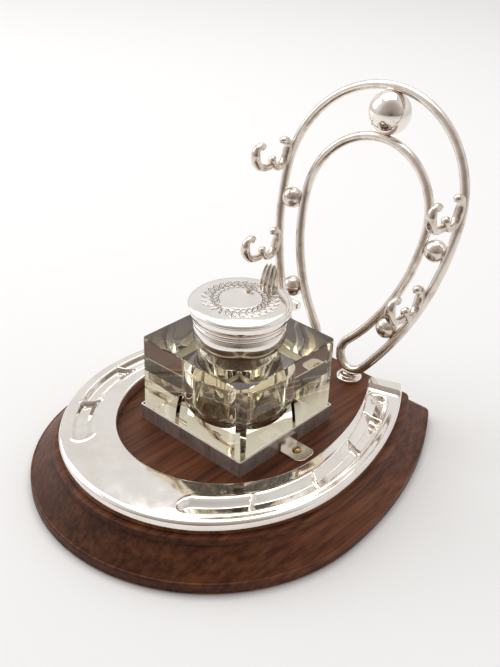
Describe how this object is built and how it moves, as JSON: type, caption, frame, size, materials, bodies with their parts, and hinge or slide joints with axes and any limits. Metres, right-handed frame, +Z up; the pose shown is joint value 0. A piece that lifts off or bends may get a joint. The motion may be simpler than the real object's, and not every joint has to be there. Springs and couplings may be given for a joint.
{
  "type": "horseshoe desk inkstand",
  "caption": "Horseshoe desk inkstand: moulded wood plinth, plated shoe, square cut-glass well with hinged domed lid, and a leaning wire pen rack.",
  "frame": {"origin": "on the table under the middle of the whole stand's bounding box", "axes": "+Z up, +Y from the toe of the horseshoe to its heels and the pen rack, +X to the right seen from the toe"},
  "size_m": [0.158, 0.2028, 0.1529],
  "materials": {
    "felt": "matt green baize",
    "walnut": "satin, waxed",
    "silver": "polished silver plate",
    "glass": "polished, faintly warm cut glass",
    "plaster": "set plaster",
    "brass": "bright",
    "steel": "plain"
  },
  "bodies": {
    "root": {"base_felt": "felt", "wood_plinth": "walnut", "horseshoe_plate": "silver", "horseshoe_studs": "steel", "horseshoe_washers": "brass", "horseshoe_nuts": "brass", "well_tray": "silver", "tray_lug_left": "silver", "tray_lug_right": "silver", "tray_screws": "brass", "rack_outer_wire": "silver", "rack_inner_wire": "silver", "crown_ball": "silver", "rack_ball_lower_left": "silver", "rack_ball_lower_right": "silver", "rack_ball_upper_left": "silver", "rack_ball_upper_right": "silver", "pen_hook_lower_left": "silver", "pen_hook_lower_right": "silver", "pen_hook_upper_left": "silver", "pen_hook_upper_right": "silver", "rack_foot_left": "silver", "rack_foot_right": "silver", "rack_studs": "steel", "rack_washers": "brass", "rack_nuts": "brass"},
    "well": {"glass_well": "glass", "collar_cement": "plaster", "neck_collar": "silver", "collar_knuckles": "silver", "hinge_pin": "silver"},
    "lid": {"lid": "silver", "lid_lining": "silver", "lid_knuckle": "silver", "thumb_piece": "silver"}
  },
  "joints": [
    {"name": "well_lift", "type": "slide", "parent": "root", "child": "well", "axis": [0, 0, 1], "range_m": [0, 0.03]},
    {"name": "lid_hinge", "type": "hinge", "parent": "well", "child": "lid", "pos_m": [0, 0.02021, 0.0704], "axis": [-1, 0, 0], "range_deg": [0, 105]}
  ]
}
